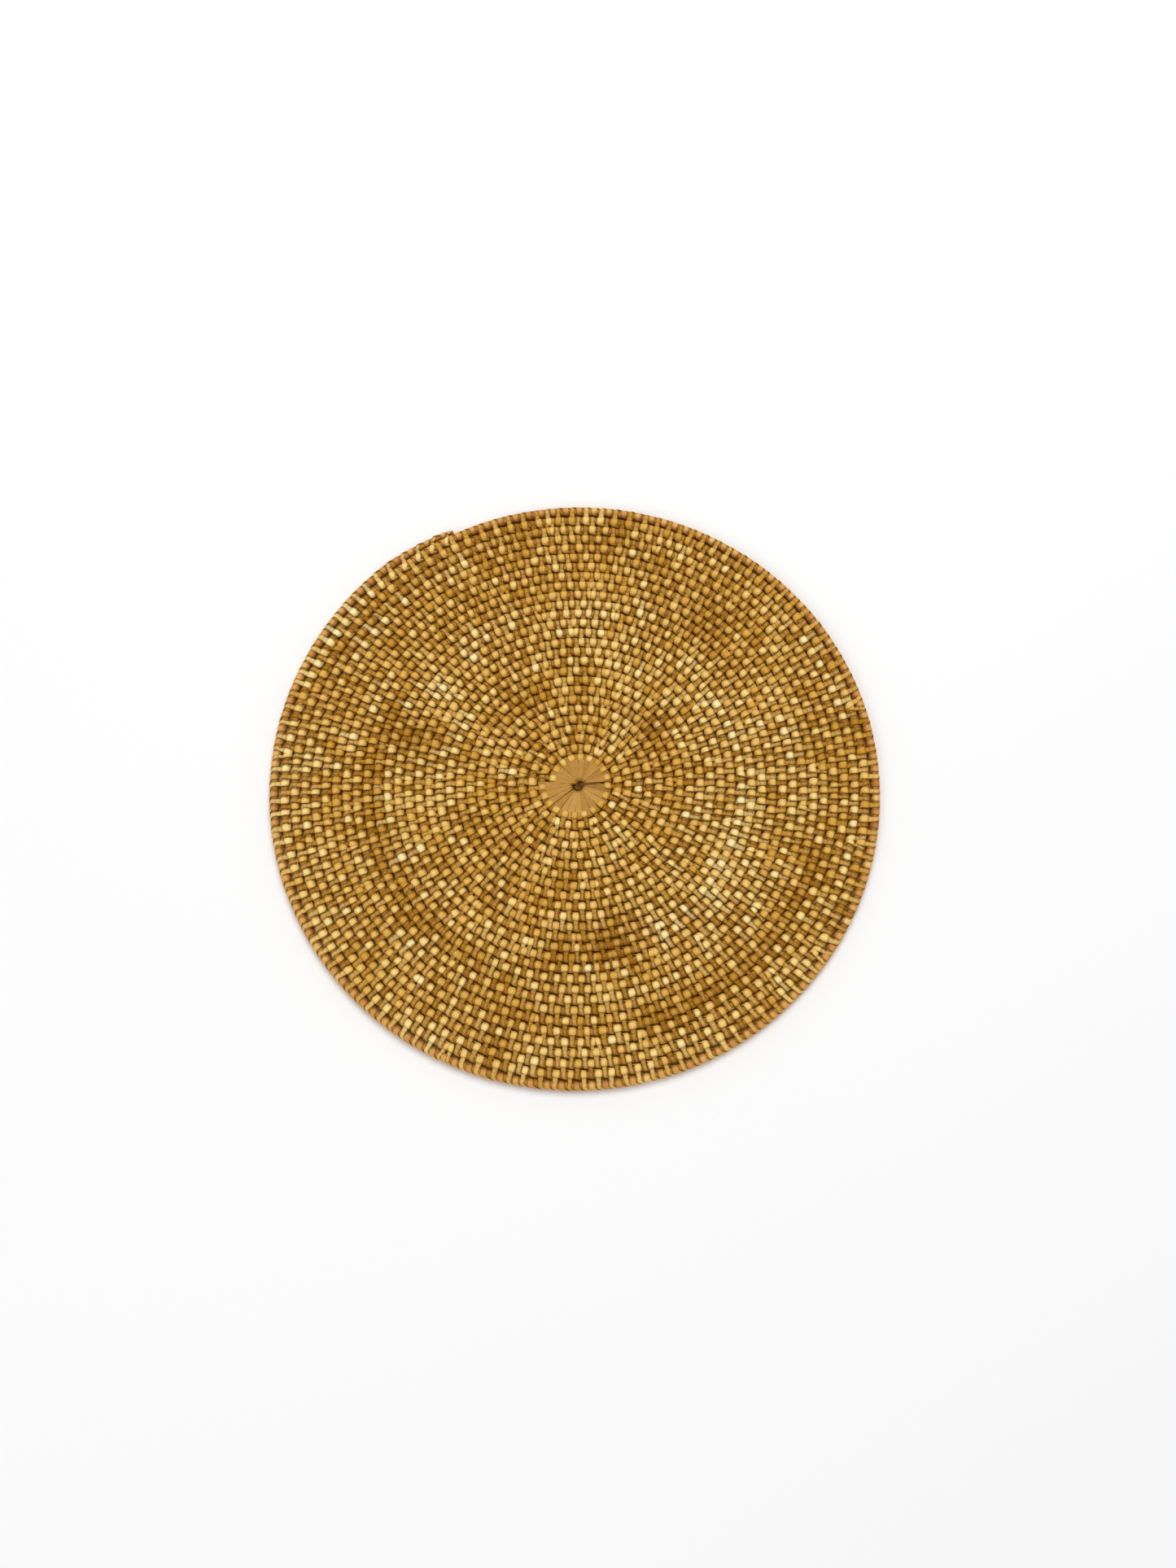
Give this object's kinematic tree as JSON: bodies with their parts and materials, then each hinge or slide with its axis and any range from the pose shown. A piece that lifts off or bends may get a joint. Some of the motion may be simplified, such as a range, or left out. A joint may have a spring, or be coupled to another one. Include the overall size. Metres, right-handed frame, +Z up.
{
  "type": "coiled rattan seat mat",
  "caption": "Round flat coiled mat of rattan core bound with rattan peel, laid loose on a chair seat or a table.",
  "frame": {"origin": "centre of the underside, midway between the mat's left and right and near and far edges", "axes": "+Z up through the mat's thickness, +Y away from the viewer, +X to the right; the coil runs clockwise outwards seen from +Z and its tail ends near +Y at 117 degrees from +X"},
  "size_m": [0.38, 0.3768, 0.0062],
  "materials": {
    "rattan_core": "matte",
    "rattan_peel": "satin",
    "rattan_rim": "satin",
    "rattan_dark": "matte"
  },
  "bodies": {
    "root": {"core_rod_01": "rattan_core", "core_rod_02": "rattan_core", "core_rod_03": "rattan_core", "core_rod_04": "rattan_core", "core_rod_05": "rattan_core", "core_rod_06": "rattan_core", "core_rod_07": "rattan_core", "binding_strip_01": "rattan_peel", "binding_strip_02": "rattan_peel", "binding_strip_03": "rattan_peel", "binding_strip_04": "rattan_peel", "binding_strip_05": "rattan_peel", "binding_strip_06": "rattan_peel", "binding_strip_07": "rattan_peel", "binding_strip_08": "rattan_peel", "binding_strip_09": "rattan_peel", "binding_strip_10": "rattan_peel", "binding_strip_11": "rattan_peel", "binding_strip_12": "rattan_peel", "binding_strip_13": "rattan_peel", "binding_strip_14": "rattan_peel", "binding_strip_15": "rattan_peel", "binding_strip_16": "rattan_peel", "binding_strip_17": "rattan_peel", "binding_strip_18": "rattan_peel", "binding_strip_19": "rattan_peel", "binding_strip_20": "rattan_peel", "binding_strip_21": "rattan_peel", "binding_strip_22": "rattan_peel", "binding_strip_23": "rattan_peel", "binding_strip_24": "rattan_peel", "binding_strip_25": "rattan_peel", "binding_strip_26": "rattan_peel", "hub_star": "rattan_peel", "start_tail": "rattan_dark", "rim_lashing": "rattan_rim"}
  },
  "joints": []
}
